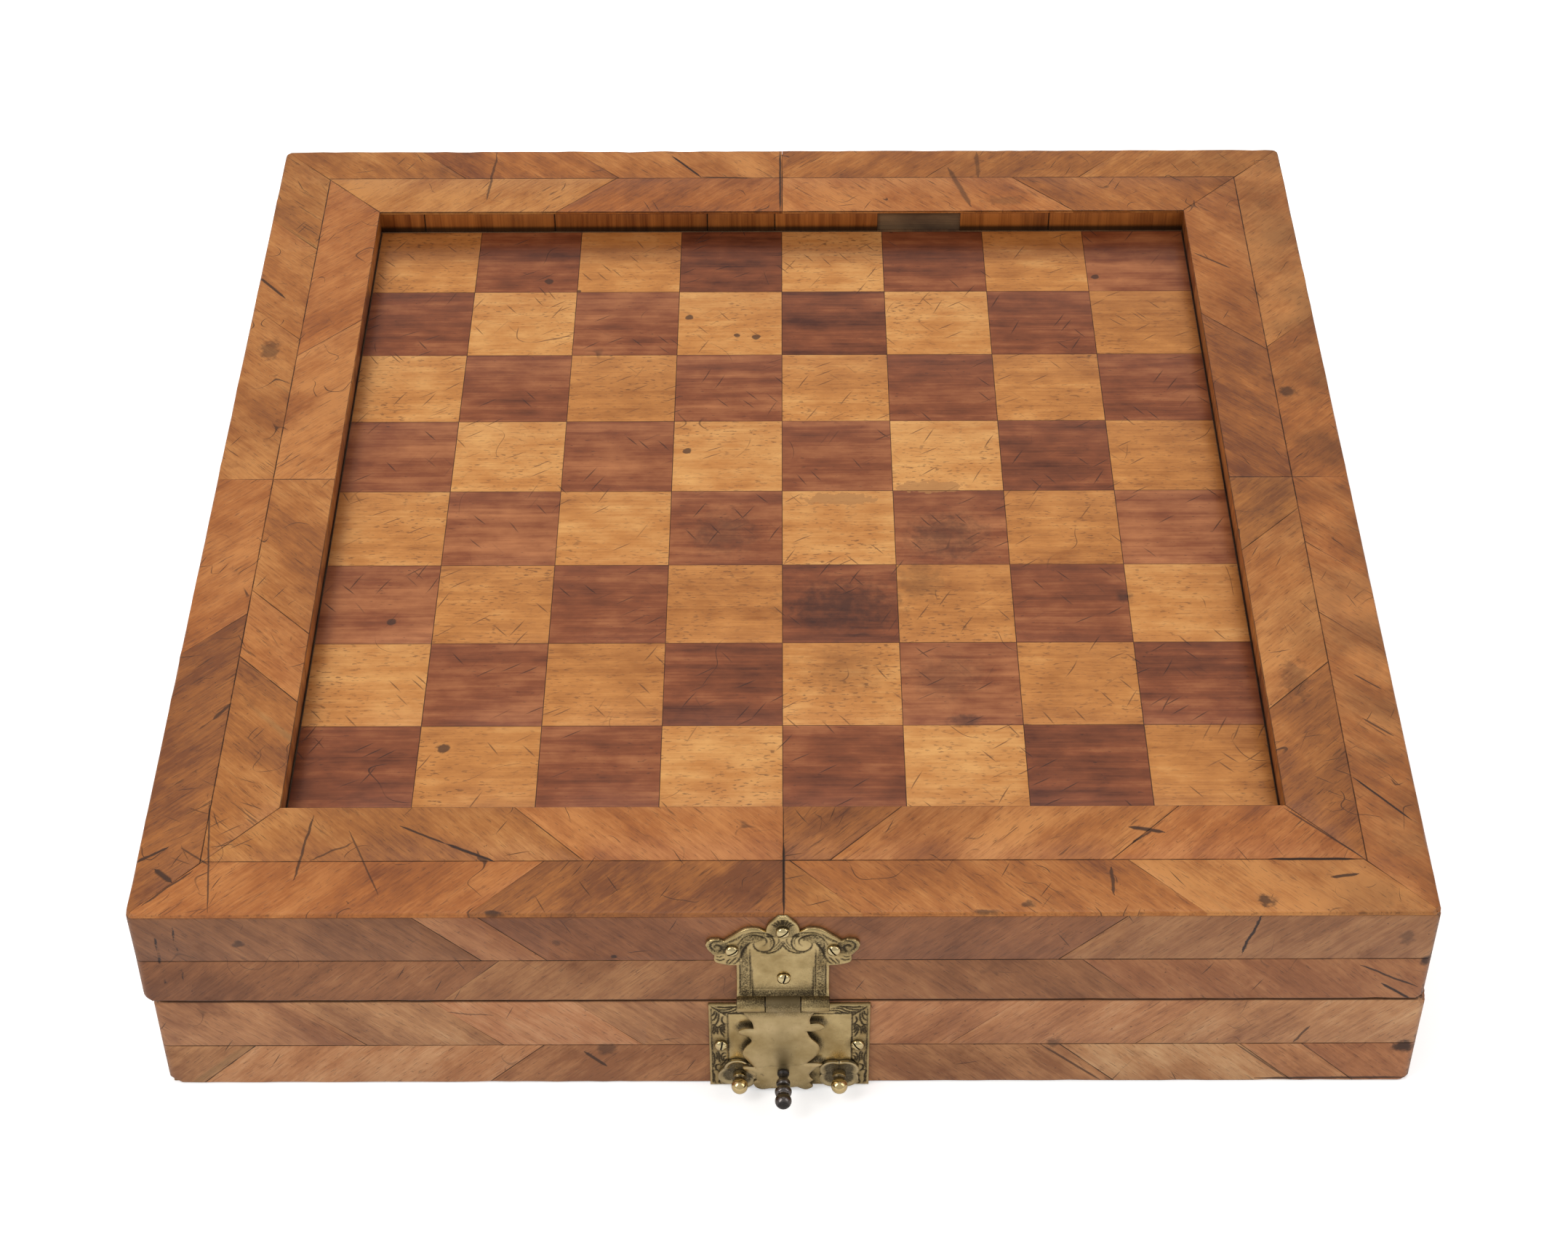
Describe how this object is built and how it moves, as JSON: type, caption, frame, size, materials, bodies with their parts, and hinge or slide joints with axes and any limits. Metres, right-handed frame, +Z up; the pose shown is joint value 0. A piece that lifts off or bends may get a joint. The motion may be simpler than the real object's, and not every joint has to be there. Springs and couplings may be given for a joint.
{
  "type": "folding chess box",
  "caption": "Hinged wooden game box with a sunk chess field in its lid, feather-banded veneer, inlaid trays inside, and a brass hasp over a lock plate with turning knobs.",
  "frame": {"origin": "on the floor, below the middle of the closed box measured with its hasp and hinges", "axes": "+Z up through the chess field, -Y towards the front with the hasp, +X to the right seen from the front"},
  "size_m": [0.407, 0.439, 0.0824],
  "materials": {
    "carcass": "planed",
    "frame_wood": "planed",
    "side_banding": "worn polish",
    "top_banding": "worn polish",
    "edging": "satin",
    "lining": "polished",
    "ground": "polished",
    "light_wood": "polished",
    "dark_wood": "polished",
    "plate_brass": "tarnished",
    "screw_brass": "tarnished",
    "knob_brass": "worn bright",
    "hinge_brass": "satin",
    "iron": "dark"
  },
  "bodies": {
    "base": {"base_back_banding": "side_banding", "base_back_wall": "carcass", "base_dark_points": "dark_wood", "base_field": "ground", "base_front_banding": "side_banding", "base_front_wall": "carcass", "base_hinge_screws": "screw_brass", "base_left_banding": "side_banding", "base_left_wall": "carcass", "base_light_points": "light_wood", "base_panel": "carcass", "base_right_banding": "side_banding", "base_right_wall": "carcass", "base_rim_edging": "edging", "left_hinge_base_leaf": "hinge_brass", "left_hinge_pin": "hinge_brass", "lock_plate": "plate_brass", "lock_plate_screws": "screw_brass", "mill_field": "light_wood", "mill_lines": "dark_wood", "right_hinge_base_leaf": "hinge_brass", "right_hinge_pin": "hinge_brass", "underside_edging": "lining", "underside_frame": "frame_wood"},
    "lid": {"left_hinge_lid_leaf": "hinge_brass", "lid_back_banding": "side_banding", "lid_back_wall": "carcass", "lid_dark_points": "dark_wood", "lid_field": "ground", "lid_frame": "frame_wood", "lid_front_banding": "side_banding", "lid_front_wall": "carcass", "lid_hinge_screws": "screw_brass", "lid_left_banding": "side_banding", "lid_left_wall": "carcass", "lid_light_points": "light_wood", "lid_panel": "carcass", "lid_right_banding": "side_banding", "lid_right_wall": "carcass", "lid_rim_edging": "edging", "right_hinge_lid_leaf": "hinge_brass", "top_back_banding": "top_banding", "top_front_banding": "top_banding", "top_left_banding": "top_banding", "top_right_banding": "top_banding", "recess_edging": "lining", "light_squares": "light_wood", "dark_squares": "dark_wood", "hasp_plate": "plate_brass", "hasp_plate_screws": "screw_brass", "hasp_pin": "iron"},
    "hasp": {"hasp_flap": "plate_brass", "pull_knob": "iron"},
    "left_knob": {"left_knob": "knob_brass", "left_rosette": "knob_brass", "left_lever": "iron"},
    "right_knob": {"right_knob": "knob_brass", "right_rosette": "knob_brass", "right_lever": "iron"}
  },
  "joints": [
    {"name": "lid_hinge", "type": "hinge", "parent": "base", "child": "lid", "pos_m": [0, 0.2172, 0.0412], "axis": [-1, 0, 0], "range_deg": [0, 180]},
    {"name": "hasp_hinge", "type": "hinge", "parent": "lid", "child": "hasp", "pos_m": [-0.00075, -0.20415, 0.0432], "axis": [-1, 0, 0], "range_deg": [0, 120]},
    {"name": "left_knob_turn", "type": "hinge", "parent": "base", "child": "left_knob", "pos_m": [-0.01485, -0.20125, 0.0072], "axis": [0, 1, 0], "range_deg": [0, 82]},
    {"name": "right_knob_turn", "type": "hinge", "parent": "base", "child": "right_knob", "pos_m": [0.01735, -0.20125, 0.0072], "axis": [0, -1, 0], "range_deg": [0, 82]}
  ]
}
